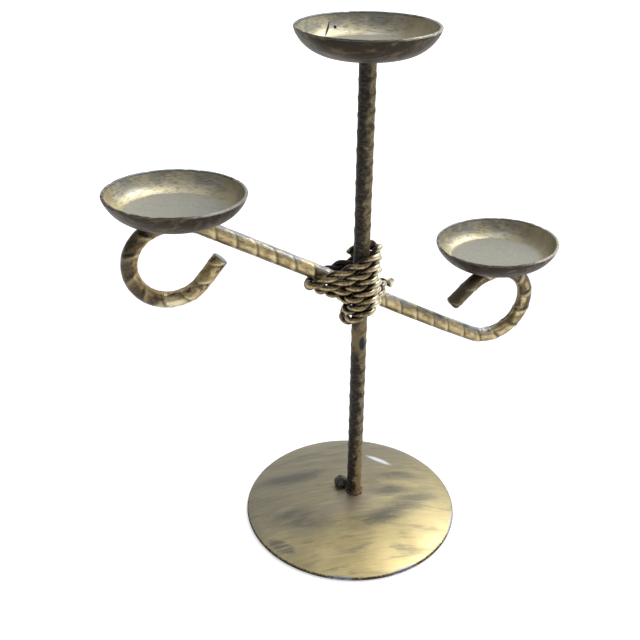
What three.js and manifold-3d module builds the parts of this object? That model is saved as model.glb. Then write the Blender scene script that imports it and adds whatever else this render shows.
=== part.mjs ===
// Table-top candle stand for three small candles: a pressed round foot, a ribbed rod standing in it,
// a second ribbed rod bent into two curls and lashed across the first with twisted wire, and three
// shallow dished cups, all held by small welds and by the lashing.
// Millimetres, +Z up. The origin is on the floor under the middle of the foot. +X runs along the
// crossing arm towards its lower end, and the arm passes on the +Y side of the standing rod.
import * as THREE from "three";
import { mergeVertices } from "three/addons/utils/BufferGeometryUtils.js";
import Module from "manifold-3d";

const wasm = await Module();
wasm.setup();

// ---------- Driving dimensions ----------

// Clearance left between a piece and what it is welded, seated or tied to.
const SEAT_GAP = 0.3;

// Foot: a round plate pressed into a low dome, hollow below, resting on a narrow flat rim.
const FOOT_RADIUS = 31.0;
const FOOT_SHEET = 1.2;
const FOOT_RISE = 4.6; // how far the middle of the dome stands above its edge
const FOOT_RIM_WIDTH = 1.8;
const POST_SHIFT_X = 1.1; // the rod stands a little off the middle of the foot
const POST_SHIFT_Y = -0.17;

// Ribbed rod that the standing post and the crossing arm are both cut from.
const ROD_RADIUS = 2.1; // between the ribs
const RIB_HEIGHT = 0.14;
const RIB_HALF_WIDTH = 0.8;
const RIB_LEAN = 33; // degrees that a rib leans from square across the rod

// Standing post.
const STAND_HEIGHT = 140; // floor to the rim of the top cup
const POST_RIB_PITCH = 4.2;
const POST_RIB_FACING = -55; // degrees from +X of the middle of one row of ribs

// Crossing arm: lengths and bends on each side of the point where it crosses the post.
const ARM_CROSSING_HEIGHT = 71.9;
const ARM_SLOPE = 29.4; // degrees that it drops towards +X
const ARM_RIB_PITCH = 5.8;
const HIGH_REACH = 45.8; // straight part towards the higher cup
const HIGH_SHOULDER_RADIUS = 14.0;
const HIGH_SHOULDER_TURN = 51.5;
const HIGH_CURL_RADIUS = 9.9;
const HIGH_CURL_TURN = 207.9;
const HIGH_STUB = 7.8;
const LOW_REACH = 42.5; // nearly straight part towards the lower cup
const LOW_DIP = 1.8; // degrees that it leaves the crossing steeper than the slope
const LOW_BOW = 3.3; // degrees that it is bowed along its length
const LOW_CURL_RADIUS = 11.2;
const LOW_CURL_TURN = 117.9;
const LOW_CROWN_RADIUS = 9.3;
const LOW_CROWN_TURN = 95.3;
const LOW_SHOULDER_RADIUS = 14.0;
const LOW_SHOULDER_TURN = 37.7;
const LOW_STUB = 7.3;

// Cups: three alike, each a pressed dish with a flat floor and a flared side.
const CUP_RIM_RADIUS = 16.9;
const CUP_FLOOR_RADIUS = 12.6;
const CUP_DEPTH = 4.8;
const CUP_SHEET = 1.4;
const CUP_LIP = 0.8; // the wall thins towards the rim
const CUP_SWELL = 0.65; // 0 for a straight flared wall, 1 for a quarter round
const TOP_CUP_SHIFT = -0.3; // along +X from the middle of the post
const TOP_CUP_TILT_X = -0.3; // degrees that the cup drops towards +X
const TOP_CUP_TILT_Y = -0.7; // degrees that the cup drops towards +Y
const HIGH_CUP_SHIFT = 0.5; // along +X from the crown of its curl
const HIGH_CUP_SIDEWAYS = -2.5; // towards +Y, off the middle of the rod
const HIGH_CUP_TILT_X = 1.5;
const HIGH_CUP_TILT_Y = 0.5;
const LOW_CUP_SHIFT = -0.9;
const LOW_CUP_SIDEWAYS = 1.2;
const LOW_CUP_TILT_X = -2.4;
const LOW_CUP_TILT_Y = 0.8;

// Lashing: two wires twisted into a rope and wound down the crossing.
const WIRE_RADIUS = 0.46;
const WIRE_GAP = 0.26; // between the two wires of the rope
const ROPE_LAY = 9.0; // length of rope in which its wires twist once round each other
const LASHING_TOP = 12.2; // height of its start above the crossing of the two rods
const LASHING_PITCH = 3.0; // drop from one turn to the next
const LASHING_TURNS = 5.85;
const TURNS_ROUND_ARM = 5; // from the first pass in front of the post; the other turns hold the post alone
const LASHING_ROLL = 27; // degrees that a turn climbs towards the front right
const ROLL_FACING = -22.3; // degrees from +X towards which it climbs
const POST_SLACK = 0.3; // how much wider than the post each stiff turn is, all of it at the front right
const ARM_SLACK = 0.4; // how far the turns stand off the arm where they cross it aslant
const START_ANGLE = 125; // degrees from +X where the rope starts, behind the post
const TAIL_SWEEP = 172; // degrees that the tail runs on round the back
const TAIL_CLIMB = 0.2; // how far its end rises again
const TAIL_LIFT = 2.6; // how far the tail stands off to clear the turns that it crosses

// Welds.
const FOOT_WELD_RADIUS = 1.0;
const FOOT_LUMP_RADIUS = 2.0; // where the weld round the post was started
const FOOT_LUMP_FACING = 134; // degrees from +X
const TOP_WELD_RADIUS = 0.6;
const CUP_WELD_RADIUS = 1.3;

// Facets.
const ROUND_FACETS = 56;
const CUP_FACETS = 36;
const ROD_SIDES = 10;
const WIRE_SIDES = 6;
const STEPS_PER_TURN = 36;
const RUN_STEP = 0.5; // between the points that a rod's run is read from

// ---------- Worked-out sizes ----------

const radians = THREE.MathUtils.degToRad;
const ROD_REACH = ROD_RADIUS + RIB_HEIGHT; // out to the tops of the ribs
const ARM_OFFSET = 2 * ROD_RADIUS + SEAT_GAP; // the two rods cross side by side
const CUP_HEIGHT = CUP_DEPTH + CUP_SHEET;
const ROPE_OFFSET = WIRE_RADIUS + WIRE_GAP / 2; // from the rope's middle to each wire's middle
const ROPE_RADIUS = ROPE_OFFSET + WIRE_RADIUS;
const FOOT_DOME = FOOT_SHEET + FOOT_RISE; // height of the middle of the foot

// ---------- Shared shape tools ----------

// A path through close points, read by its distance along them.
class Route {
  constructor(points) {
    this.points = points;
    this.reach = [0];
    points.slice(1).forEach((point, i) => this.reach.push(this.reach[i] + point.distanceTo(points[i])));
    this.length = this.reach.at(-1);
  }
  at(distance) {
    const last = this.points.length - 2;
    let low = 0;
    let high = last;
    while (low < high) {
      const middle = Math.ceil((low + high) / 2);
      if (this.reach[middle] <= distance) low = middle;
      else high = middle - 1;
    }
    const share = (distance - this.reach[low]) / (this.reach[low + 1] - this.reach[low]);
    return this.points[low].clone().lerp(this.points[low + 1], share);
  }
  tangent(distance) {
    const step = this.length / this.points.length;
    const ahead = this.at(Math.min(distance + step, this.length));
    return ahead.sub(this.at(Math.max(distance - step, 0))).normalize();
  }
}

// A closed skin over rings of equal size, with a flat fan on each end.
function skin(rings) {
  const sides = rings[0].length;
  const ends = [rings[0], rings.at(-1)].map((ring) =>
    ring.reduce((sum, point) => sum.add(point), new THREE.Vector3()).divideScalar(sides),
  );
  const points = [...rings.flat(), ...ends];
  const faces = [];
  const lastRing = (rings.length - 1) * sides;
  for (let side = 0; side < sides; side++) {
    const next = (side + 1) % sides;
    for (let ring = 0; ring < lastRing; ring += sides) {
      faces.push(ring + side, ring + next, ring + sides + next);
      faces.push(ring + side, ring + sides + next, ring + sides + side);
    }
    faces.push(points.length - 2, next, side);
    faces.push(points.length - 1, lastRing + side, lastRing + next);
  }
  return new THREE.BufferGeometry().setFromPoints(points).setIndex(faces);
}

// Turns a closed geometry into a solid that can be joined and cut, and back again.
function solidOf(geometry) {
  const bare = geometry.clone();
  bare.deleteAttribute("normal");
  bare.deleteAttribute("uv");
  const merged = mergeVertices(bare, 1e-4);
  const vertProperties = merged.attributes.position.array;
  return new wasm.Manifold(
    new wasm.Mesh({ numProp: 3, vertProperties, triVerts: new Uint32Array(merged.index.array) }),
  );
}

function geometryOf(solid) {
  const { vertProperties, triVerts } = solid.getMesh();
  return new THREE.BufferGeometry()
    .setAttribute("position", new THREE.BufferAttribute(vertProperties, 3))
    .setIndex(new THREE.BufferAttribute(triVerts, 1));
}

const profilePoint = (radius, height) => new THREE.Vector2(radius, height);

// LatheGeometry turns about Y, so its result is stood up along +Z.
const turned = (profile, facets) => new THREE.LatheGeometry(profile, facets).rotateX(Math.PI / 2);

// ---------- Foot ----------

// Height of a pressed dome: level in the middle and steepest at its edge.
const domeHeight = (radius, reach, rise) => rise * (1 - (radius / reach) ** 2);

function footTop(radius) {
  return FOOT_SHEET + domeHeight(radius, FOOT_RADIUS, FOOT_RISE);
}

function foot() {
  const steps = 5;
  const edge = FOOT_SHEET / 2;
  const hollow = FOOT_RADIUS - edge - FOOT_RIM_WIDTH;
  const profile = [];
  for (let i = 0; i <= steps; i++) {
    const radius = (hollow * i) / steps;
    profile.push(profilePoint(radius, domeHeight(radius, hollow, FOOT_RISE)));
  }
  profile.push(profilePoint(FOOT_RADIUS - edge, 0));
  profile.push(profilePoint(FOOT_RADIUS, edge));
  for (let i = steps; i >= 0; i--) {
    const radius = ((FOOT_RADIUS - edge) * i) / steps;
    profile.push(profilePoint(radius, footTop(radius)));
  }
  return turned(profile, ROUND_FACETS).translate(-POST_SHIFT_X, -POST_SHIFT_Y, 0);
}

// ---------- Ribbed rods ----------

// Where a rod's skin needs a ring: at its ends, at the two feet and the top of each rib, and at some
// plain places between ribs where the rod is bent.
function ribStations(length, pitch, between) {
  const count = Math.floor((length - 2 * RIB_HALF_WIDTH) / pitch);
  const first = (length - (count - 1) * pitch) / 2;
  const plainStep = (pitch - 2 * RIB_HALF_WIDTH) / (between + 1);
  const stations = [{ distance: 0, height: 0 }];
  for (let i = 0; i < count; i++) {
    const middle = first + i * pitch;
    stations.push({ distance: middle - RIB_HALF_WIDTH, height: 0 });
    stations.push({ distance: middle, height: RIB_HEIGHT });
    stations.push({ distance: middle + RIB_HALF_WIDTH, height: 0 });
    for (let j = 1; j <= between && i < count - 1; j++)
      stations.push({ distance: middle + RIB_HALF_WIDTH + j * plainStep, height: 0 });
  }
  stations.push({ distance: length, height: 0 });
  return stations;
}

// A rod whose ribs stand in two rows, one facing the side direction turned by facing degrees and one
// facing away from it, with smooth strips between the rows.
function ribbedRod(route, side, { pitch, facing, between }) {
  const rings = ribStations(route.length, pitch, between).map(({ distance, height }) => {
    const fromEnd = Math.min(distance, route.length - distance);
    const lean = Math.tan(radians(RIB_LEAN)) * Math.min(1, fromEnd / pitch);
    return Array.from({ length: ROD_SIDES }, (_, i) => {
      const turn = (2 * Math.PI * i) / ROD_SIDES;
      const fromRow = turn - radians(facing);
      const along = distance + lean * ROD_RADIUS * Math.sin(fromRow);
      const across = new THREE.Vector3().crossVectors(route.tangent(along), side);
      const radius = ROD_RADIUS + height * Math.cos(fromRow) ** 2;
      return route.at(along)
        .addScaledVector(side, radius * Math.cos(turn))
        .addScaledVector(across, radius * Math.sin(turn));
    });
  });
  return skin(rings);
}

function straightRoute(from, to, step) {
  const count = Math.ceil(from.distanceTo(to) / step);
  return new Route(Array.from({ length: count + 1 }, (_, i) => from.clone().lerp(to, i / count)));
}

// ---------- Standing post ----------

const POST_BOTTOM = footTop(Math.hypot(POST_SHIFT_X, POST_SHIFT_Y)) + SEAT_GAP;
const POST_TOP = STAND_HEIGHT - CUP_HEIGHT - SEAT_GAP;

function post() {
  const bottom = new THREE.Vector3(0, 0, POST_BOTTOM);
  const top = new THREE.Vector3(0, 0, POST_TOP);
  const ribs = { pitch: POST_RIB_PITCH, facing: POST_RIB_FACING, between: 0 };
  return ribbedRod(straightRoute(bottom, top, RUN_STEP), new THREE.Vector3(1, 0, 0), ribs);
}

// ---------- Crossing arm ----------

// Points along a run of straights [length] and bends [radius, degrees], in the arm's upright plane.
function bentRun(heading, run) {
  const here = new THREE.Vector3(0, ARM_OFFSET, ARM_CROSSING_HEIGHT);
  const points = [here.clone()];
  let direction = radians(heading);
  const forward = (distance) => {
    here.x += distance * Math.cos(direction);
    here.z += distance * Math.sin(direction);
  };
  run.forEach(([size, turn]) => {
    const angle = radians(turn ?? 0);
    const length = turn ? size * Math.abs(angle) : size;
    const count = Math.ceil(length / RUN_STEP);
    for (let i = 0; i < count; i++) {
      direction += angle / count / 2;
      forward(length / count);
      direction += angle / count / 2;
      points.push(here.clone());
    }
  });
  return points;
}

const HIGH_RUN = bentRun(180 - ARM_SLOPE, [
  [HIGH_REACH],
  [HIGH_SHOULDER_RADIUS, HIGH_SHOULDER_TURN],
  [HIGH_CURL_RADIUS, HIGH_CURL_TURN],
  [HIGH_STUB],
]);
const LOW_RUN = bentRun(-ARM_SLOPE - LOW_DIP, [
  [LOW_REACH / radians(LOW_BOW), LOW_BOW],
  [LOW_CURL_RADIUS, LOW_CURL_TURN],
  [LOW_CROWN_RADIUS, LOW_CROWN_TURN],
  [LOW_SHOULDER_RADIUS, LOW_SHOULDER_TURN],
  [LOW_STUB],
]);
const ARM_ROUTE = new Route([...HIGH_RUN.slice(1).reverse(), ...LOW_RUN]);

function arm() {
  const ribs = { pitch: ARM_RIB_PITCH, facing: 0, between: 2 };
  return ribbedRod(ARM_ROUTE, new THREE.Vector3(0, -1, 0), ribs);
}

// The crown is the highest point of a run beyond its straight reach, where a cup is welded on.
function crownOf(run, reach) {
  const curl = run.slice(Math.ceil(reach / RUN_STEP) + 1);
  return curl.reduce((best, point) => (point.z > best.z ? point : best));
}

// ---------- Cups ----------

// The pressed wall bulges outwards between the flat floor and the rim: share runs from 0 to 1.
function wallPoint(share, floorRadius, rimRadius, floorHeight, rimHeight) {
  const angle = (Math.PI / 2) * share;
  const swell = THREE.MathUtils.lerp(share, Math.sin(angle), CUP_SWELL);
  const lag = THREE.MathUtils.lerp(share, 1 - Math.cos(angle), CUP_SWELL);
  return profilePoint(
    THREE.MathUtils.lerp(floorRadius, rimRadius, swell),
    THREE.MathUtils.lerp(floorHeight, rimHeight, lag),
  );
}

function cup() {
  const steps = 4;
  const lip = CUP_LIP / 3;
  const top = CUP_HEIGHT - lip;
  const underside = CUP_FLOOR_RADIUS - CUP_SHEET * 1.6;
  const profile = [profilePoint(0, 0)];
  for (let i = 0; i <= steps + 1; i++)
    profile.push(wallPoint(i / (steps + 1), underside, CUP_RIM_RADIUS, 0, top));
  profile.push(profilePoint(CUP_RIM_RADIUS - lip, CUP_HEIGHT));
  for (let i = steps; i >= 0; i--)
    profile.push(wallPoint(i / steps, CUP_FLOOR_RADIUS, CUP_RIM_RADIUS - CUP_LIP, CUP_SHEET, top));
  profile.push(profilePoint(0, CUP_SHEET));
  return turned(profile, CUP_FACETS);
}

// Where each cup's underside is centred, and how it tilts.
const HIGH_CROWN = crownOf(HIGH_RUN, HIGH_REACH);
const LOW_CROWN = crownOf(LOW_RUN, LOW_REACH);
const overCrown = (crown, shift, sideways) =>
  new THREE.Vector3(crown.x + shift, ARM_OFFSET + sideways, crown.z + ROD_REACH + SEAT_GAP);
const CUP_SEATS = {
  cup_top: {
    centre: new THREE.Vector3(TOP_CUP_SHIFT, 0, POST_TOP + SEAT_GAP),
    tilt: [TOP_CUP_TILT_X, TOP_CUP_TILT_Y],
  },
  cup_high: {
    centre: overCrown(HIGH_CROWN, HIGH_CUP_SHIFT, HIGH_CUP_SIDEWAYS),
    tilt: [HIGH_CUP_TILT_X, HIGH_CUP_TILT_Y],
  },
  cup_low: {
    centre: overCrown(LOW_CROWN, LOW_CUP_SHIFT, LOW_CUP_SIDEWAYS),
    tilt: [LOW_CUP_TILT_X, LOW_CUP_TILT_Y],
  },
};

function placeOnSeat(mesh, { centre, tilt }) {
  mesh.position.copy(centre);
  mesh.rotation.set(-radians(tilt[1]), radians(tilt[0]), 0);
}

// ---------- Lashing ----------

const ROLL_RISE = Math.tan(radians(LASHING_ROLL));
const ROLL_X = ROLL_RISE * Math.cos(radians(ROLL_FACING));
const ROLL_Y = ROLL_RISE * Math.sin(radians(ROLL_FACING));
const ARM_FALL = Math.tan(radians(ARM_SLOPE));
const HOLD = ROD_REACH + SEAT_GAP + ROPE_RADIUS; // from the middle of a rod to the middle of the rope

// Where a turn, whose plane meets the post's axis at height, meets the middle of the arm, seen from above.
function armCrossing(height) {
  return (ARM_CROSSING_HEIGHT - height - ROLL_Y * ARM_OFFSET) / (ROLL_X + ARM_FALL);
}

// The arm's section by a turn's plane, seen from above: where the rope runs round it in some direction.
function roundArm(out, hold) {
  const across = Math.cos(radians(ARM_SLOPE));
  const x = (out.x - ROLL_Y * across * out.y) / (across * (ARM_FALL + ROLL_X));
  return new THREE.Vector3(x, out.y, 0).multiplyScalar(hold + ARM_SLACK);
}

// The turns after which the rope first passes in front of the post, and is led round the arm.
const FIRST_FRONT = (START_ANGLE + 90) / 360;
const LAST_ROUND_ARM = FIRST_FRONT + TURNS_ROUND_ARM;

const turnHeight = (turns) => ARM_CROSSING_HEIGHT + LASHING_TOP - LASHING_PITCH * turns;

// The middle of the rope after some turns: round the post, and round the arm too while it is held.
// The tail lies over the last turns round both rods.
function ropeMiddle(turns) {
  const wound = Math.min(turns, LASHING_TURNS);
  const tail = (turns - wound) / (TAIL_SWEEP / 360);
  const angle = START_ANGLE - 360 * turns;
  const out = new THREE.Vector3(Math.cos(radians(angle)), Math.sin(radians(angle)), 0);
  const lifted = TAIL_LIFT * THREE.MathUtils.smoothstep(tail, 0, 0.45);
  const climb = TAIL_CLIMB * THREE.MathUtils.smoothstep(tail, 0.35, 1);
  const point = out.clone().multiplyScalar(HOLD + POST_SLACK + lifted);
  point.x += POST_SLACK * Math.cos(radians(ROLL_FACING));
  point.y += POST_SLACK * Math.sin(radians(ROLL_FACING));
  const held = turns > FIRST_FRONT && turns < LAST_ROUND_ARM ? 1 : THREE.MathUtils.smoothstep(tail, 0, 0.45);
  const crossing = armCrossing(turnHeight(Math.min(turns, LAST_ROUND_ARM - 0.5)));
  const toArm = new THREE.Vector3(crossing, ARM_OFFSET, 0);
  const facing = out.dot(toArm.clone().normalize());
  point.lerp(roundArm(out, HOLD + lifted).add(toArm), held * (0.5 + 0.5 * Math.tanh(6 * facing)));
  point.z = turnHeight(wound) + ROLL_X * point.x + ROLL_Y * point.y + climb;
  return { point, out };
}

const ALL_TURNS = LASHING_TURNS + TAIL_SWEEP / 360;

// One wire of the rope: it runs round the rope's middle once in each lay.
function wireRoute(phase) {
  const samplesPerTurn = 240;
  const count = Math.round(ALL_TURNS * samplesPerTurn);
  const samples = Array.from({ length: count + 1 }, (_, i) => ropeMiddle((ALL_TURNS * i) / count));
  const rope = new Route(samples.map(({ point }) => point));
  return new Route(
    samples.map(({ point, out }, i) => {
      const tangent = rope.tangent(rope.reach[i]);
      const away = out.clone().addScaledVector(tangent, -out.dot(tangent)).normalize();
      const beside = new THREE.Vector3().crossVectors(tangent, away);
      const twist = phase + (2 * Math.PI * rope.reach[i]) / ROPE_LAY;
      return point.clone()
        .addScaledVector(away, ROPE_OFFSET * Math.cos(twist))
        .addScaledVector(beside, ROPE_OFFSET * Math.sin(twist));
    }),
  );
}

function wireSkin(route) {
  const steps = Math.round(STEPS_PER_TURN * ALL_TURNS);
  const rings = [];
  let up = new THREE.Vector3(0, 0, 1);
  for (let i = 0; i <= steps; i++) {
    const distance = (route.length * i) / steps;
    const tangent = route.tangent(distance);
    up = up.addScaledVector(tangent, -up.dot(tangent)).normalize();
    const beside = new THREE.Vector3().crossVectors(tangent, up);
    rings.push(
      Array.from({ length: WIRE_SIDES }, (_, side) => {
        const turn = (2 * Math.PI * side) / WIRE_SIDES;
        return route.at(distance)
          .addScaledVector(up, WIRE_RADIUS * Math.cos(turn))
          .addScaledVector(beside, WIRE_RADIUS * Math.sin(turn));
      }),
    );
  }
  return skin(rings);
}

// The least clear space between a wire and its own other turns.
function leastSelfGap(route) {
  const apart = 6 * WIRE_RADIUS;
  const count = Math.round(route.length / 0.35);
  const marks = Array.from({ length: count + 1 }, (_, i) => route.at((route.length * i) / count));
  const skip = Math.ceil((apart * count) / route.length);
  let least = Infinity;
  for (let i = 0; i < marks.length; i++)
    for (let j = i + skip; j < marks.length; j++) least = Math.min(least, marks[i].distanceTo(marks[j]));
  return least - 2 * WIRE_RADIUS;
}

// ---------- Welds ----------

const ball = (radius, x, y, z) => new THREE.SphereGeometry(radius, 9, 6).translate(x, y, z);

// A run of weld: lumps joined together, less the pieces that it sits against and any crumb cut off.
function weld(lumps, neighbours) {
  const joined = lumps.map(solidOf).reduce((sum, lump) => sum.add(lump));
  const cut = neighbours.map(solidOf).reduce((left, neighbour) => left.subtract(neighbour), joined);
  return geometryOf(cut.decompose().reduce((most, body) => (body.volume() > most.volume() ? body : most)));
}

// The space that a welded piece keeps clear round the post, round a curl and under a cup.
function postClearance() {
  return new THREE.CylinderGeometry(ROD_REACH + SEAT_GAP, ROD_REACH + SEAT_GAP, STAND_HEIGHT, 20)
    .rotateX(Math.PI / 2)
    .translate(0, 0, STAND_HEIGHT / 2);
}

function curlClearance(run, crown) {
  const near = new Route(run.filter((point) => point.distanceTo(crown) < 4 * CUP_WELD_RADIUS));
  const side = new THREE.Vector3(0, -1, 0);
  const rings = Array.from({ length: 9 }, (_, i) => {
    const distance = (near.length * i) / 8;
    const across = new THREE.Vector3().crossVectors(near.tangent(distance), side);
    return Array.from({ length: 16 }, (_, j) => {
      const turn = (Math.PI * j) / 8;
      return near.at(distance)
        .addScaledVector(side, (ROD_REACH + SEAT_GAP) * Math.cos(turn))
        .addScaledVector(across, (ROD_REACH + SEAT_GAP) * Math.sin(turn));
    });
  });
  return skin(rings);
}

function cupClearance(seat) {
  const slab = new THREE.Mesh(
    new THREE.CylinderGeometry(CUP_FLOOR_RADIUS, CUP_FLOOR_RADIUS, CUP_HEIGHT, 24)
      .rotateX(Math.PI / 2)
      .translate(0, 0, CUP_HEIGHT / 2 - SEAT_GAP),
  );
  placeOnSeat(slab, seat);
  slab.updateMatrix();
  return slab.geometry.applyMatrix4(slab.matrix);
}

function footClearance() {
  const reach = FOOT_RADIUS * 0.3;
  const steps = 4;
  const profile = [profilePoint(0, 0), profilePoint(reach, 0)];
  for (let i = steps; i >= 0; i--) {
    const radius = (reach * i) / steps;
    profile.push(profilePoint(radius, footTop(radius) + SEAT_GAP));
  }
  return turned(profile, ROUND_FACETS).translate(-POST_SHIFT_X, -POST_SHIFT_Y, 0);
}

// The weld round the foot of the post, with one larger lump where it was started.
function footWeld() {
  const lumps = Array.from({ length: 9 }, (_, i) => {
    const angle = (2 * Math.PI * i) / 9;
    const reach = ROD_REACH + SEAT_GAP;
    return ball(FOOT_WELD_RADIUS, reach * Math.cos(angle), reach * Math.sin(angle), POST_BOTTOM);
  });
  const away = ROD_REACH + FOOT_LUMP_RADIUS * 0.85;
  const start = ball(
    FOOT_LUMP_RADIUS,
    away * Math.cos(radians(FOOT_LUMP_FACING)),
    away * Math.sin(radians(FOOT_LUMP_FACING)),
    POST_BOTTOM + FOOT_LUMP_RADIUS * 0.2,
  );
  return weld([...lumps, start], [footClearance(), postClearance()]);
}

// A fillet of weld in the corner between the end of the post and the cup on it.
function topCupWeld() {
  const inside = ROD_REACH + SEAT_GAP;
  const corner = profilePoint(inside, POST_TOP);
  return turned(
    [
      corner,
      profilePoint(inside, POST_TOP - TOP_WELD_RADIUS),
      profilePoint(inside + TOP_WELD_RADIUS * 0.4, POST_TOP - TOP_WELD_RADIUS * 0.6),
      profilePoint(inside + TOP_WELD_RADIUS, POST_TOP),
      corner,
    ],
    CUP_FACETS,
  );
}

// A short weld along the back of a curl's crown, under its cup.
function curlWeld(run, crown, seat) {
  const lumps = [-1, 0, 1].map((place) =>
    ball(
      CUP_WELD_RADIUS,
      crown.x + place * CUP_WELD_RADIUS,
      ARM_OFFSET + ROD_REACH * 0.9,
      crown.z + ROD_REACH * 0.6,
    ),
  );
  return weld(lumps, [curlClearance(run, crown), cupClearance(seat)]);
}

// ---------- Assembly ----------

const paintedMetal = (color, roughness) =>
  new THREE.MeshStandardMaterial({ color, roughness, metalness: 0.7 });
const FINISHES = {
  foot: paintedMetal(0x9c9069, 0.5),
  rod: paintedMetal(0x5d4f36, 0.55),
  cup: paintedMetal(0x8c8262, 0.5),
  wire: paintedMetal(0x6b5b3c, 0.45),
  weld: paintedMetal(0x4a3f33, 0.7),
};

// The pieces are worked out about the axis of the post, and then moved over the middle of the foot.
const pieces = new THREE.Group();
pieces.position.set(POST_SHIFT_X, POST_SHIFT_Y, 0);
const stand = new THREE.Group().add(pieces);

function addPiece(name, geometry, material) {
  const mesh = new THREE.Mesh(geometry, material);
  mesh.name = name;
  pieces.add(mesh);
  return mesh;
}

addPiece("base_plate", foot(), FINISHES.foot);
addPiece("stem_rod", post(), FINISHES.rod);
addPiece("cross_arm", arm(), FINISHES.rod);
Object.entries(CUP_SEATS).forEach(([name, seat]) => placeOnSeat(addPiece(name, cup(), FINISHES.cup), seat));
["a", "b"].forEach((letter, i) => {
  const route = wireRoute(i * Math.PI);
  console.log(`binding_wire_${letter}: least gap to itself ${leastSelfGap(route).toFixed(2)} mm`);
  addPiece(`binding_wire_${letter}`, wireSkin(route), FINISHES.wire);
});
addPiece("weld_foot", footWeld(), FINISHES.weld);
addPiece("weld_cup_top", topCupWeld(), FINISHES.weld);
addPiece("weld_cup_high", curlWeld(HIGH_RUN, HIGH_CROWN, CUP_SEATS.cup_high), FINISHES.weld);
addPiece("weld_cup_low", curlWeld(LOW_RUN, LOW_CROWN, CUP_SEATS.cup_low), FINISHES.weld);

export default stand;
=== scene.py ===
"""A table-top candle stand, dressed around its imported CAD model. Metres, +Z up."""

import math
from bisect import bisect_right

import bmesh
import bpy
from mathutils import Matrix, Vector, noise


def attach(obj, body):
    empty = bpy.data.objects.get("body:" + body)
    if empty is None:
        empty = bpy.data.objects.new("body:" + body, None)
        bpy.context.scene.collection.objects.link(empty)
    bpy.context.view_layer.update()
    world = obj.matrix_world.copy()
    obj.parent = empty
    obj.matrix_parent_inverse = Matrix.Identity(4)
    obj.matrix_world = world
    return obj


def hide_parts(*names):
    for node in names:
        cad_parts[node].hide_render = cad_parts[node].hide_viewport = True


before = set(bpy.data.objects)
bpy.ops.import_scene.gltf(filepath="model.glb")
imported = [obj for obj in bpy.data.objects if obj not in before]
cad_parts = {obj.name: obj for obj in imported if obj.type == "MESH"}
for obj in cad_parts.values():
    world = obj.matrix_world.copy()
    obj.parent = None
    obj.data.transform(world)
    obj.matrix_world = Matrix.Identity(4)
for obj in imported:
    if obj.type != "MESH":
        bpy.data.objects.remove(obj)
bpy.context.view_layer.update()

# ---------- Camera ----------
# The photograph's view: from a little left of the stand's front, 27 cm away, looking down by
# 29 degrees.

MM = 0.001
EYE = Vector((-74.91, -185.49, 174.9)) * MM
LOOKING = Vector((0.28877, 0.82549, -0.48496))
CAMERA_ROLL = 0.0078
FILM_WIDTH = 36.0
FOCAL_LENGTH = 48.08

lens = bpy.data.cameras.new("camera")
lens.sensor_width = FILM_WIDTH
lens.lens = FOCAL_LENGTH
lens.clip_start = 10 * MM
camera = bpy.data.objects.new("camera", lens)
facing = LOOKING.to_track_quat("-Z", "Y").to_matrix().to_4x4()
camera.matrix_world = Matrix.Translation(EYE) @ facing @ Matrix.Rotation(CAMERA_ROLL, 4, "Z")
bpy.context.scene.collection.objects.link(camera)
bpy.context.scene.camera = camera
bpy.context.scene.view_settings.view_transform = "Standard"

# ---------- Studio ----------
# A wide white floor in soft daylight. The sky is brightest high on the right and behind the stand, and
# one broad lamp shines from there like a window.


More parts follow.
